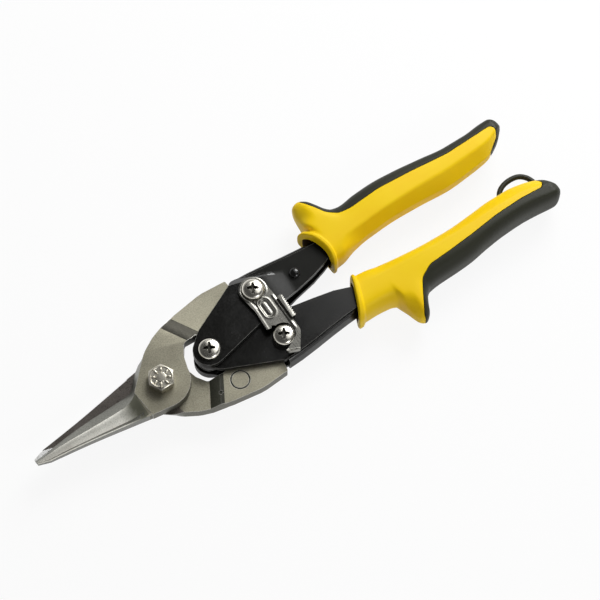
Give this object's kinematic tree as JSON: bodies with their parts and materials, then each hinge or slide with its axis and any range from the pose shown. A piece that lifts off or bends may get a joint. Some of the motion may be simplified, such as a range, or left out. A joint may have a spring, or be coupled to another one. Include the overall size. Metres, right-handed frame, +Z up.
{
  "type": "aviation snips",
  "caption": "Compound-action sheet metal snips, closed and latched: pointed jaws, linked black channel handles, yellow grips with black inserts and a hanging loop.",
  "frame": {"origin": "centre of the flat lower end of the main pivot's bolt, which lies on the table", "axes": "+X from the main pivot towards the grips, +Y towards the handle whose cheeks are on the outside, +Z up along the pivots towards the bolt's hexagon head"},
  "size_m": [0.2519, 0.0755, 0.0229],
  "materials": {
    "blade_steel": "satin ground, dull",
    "bright_steel": "bright plated",
    "black_paint": "semi-gloss black",
    "yellow_grip": "satin yellow",
    "black_rubber": "matt soft touch"
  },
  "bodies": {
    "lower_handle": {"lower_handle": "black_paint", "lower_grip_sleeve": "yellow_grip", "lower_grip_insert": "black_rubber", "hanging_loop": "black_rubber", "handle_pivot_screw": "bright_steel", "handle_pivot_nut": "bright_steel", "handle_pivot_bush": "bright_steel", "lower_link_screw": "bright_steel", "lower_link_nut": "bright_steel", "opening_spring": "bright_steel"},
    "upper_handle": {"upper_handle": "black_paint", "upper_grip_sleeve": "yellow_grip", "upper_grip_insert": "black_rubber", "upper_link_screw": "bright_steel", "upper_link_nut": "bright_steel", "upper_link_washer_top": "bright_steel", "upper_link_washer_bottom": "bright_steel", "latch_washer": "bright_steel", "spring_stop_rivet": "black_paint"},
    "upper_blade": {"upper_blade": "blade_steel"},
    "lower_blade": {"lower_blade": "blade_steel", "pivot_bolt": "bright_steel", "pivot_nut": "bright_steel"},
    "latch": {"latch": "bright_steel"}
  },
  "joints": [
    {"name": "handles_open", "type": "hinge", "parent": "lower_handle", "child": "upper_handle", "pos_m": [0.0236, 0, 0.0109], "axis": [0, 0, 1], "range_deg": [0, 34]},
    {"name": "upper_blade_swing", "type": "hinge", "parent": "upper_handle", "child": "upper_blade", "pos_m": [0.053, 0.0118, 0.0109], "axis": [0, 0, 1], "range_deg": [-8.2, 0]},
    {"name": "lower_blade_swing", "type": "hinge", "parent": "lower_handle", "child": "lower_blade", "pos_m": [0.053, -0.0118, 0.0109], "axis": [0, 0, 1], "range_deg": [0, 8.2]},
    {"name": "latch_swing", "type": "hinge", "parent": "upper_handle", "child": "latch", "pos_m": [0.053, 0.0118, 0.0109], "axis": [0, 0, 1], "range_deg": [0, 68.2]}
  ],
  "couplings": [
    {"joint": "upper_blade_swing", "follows": "handles_open", "ratio": -0.2345},
    {"joint": "lower_blade_swing", "follows": "handles_open", "ratio": 0.2345},
    {"joint": "latch_swing", "follows": "handles_open", "ratio": 2}
  ]
}
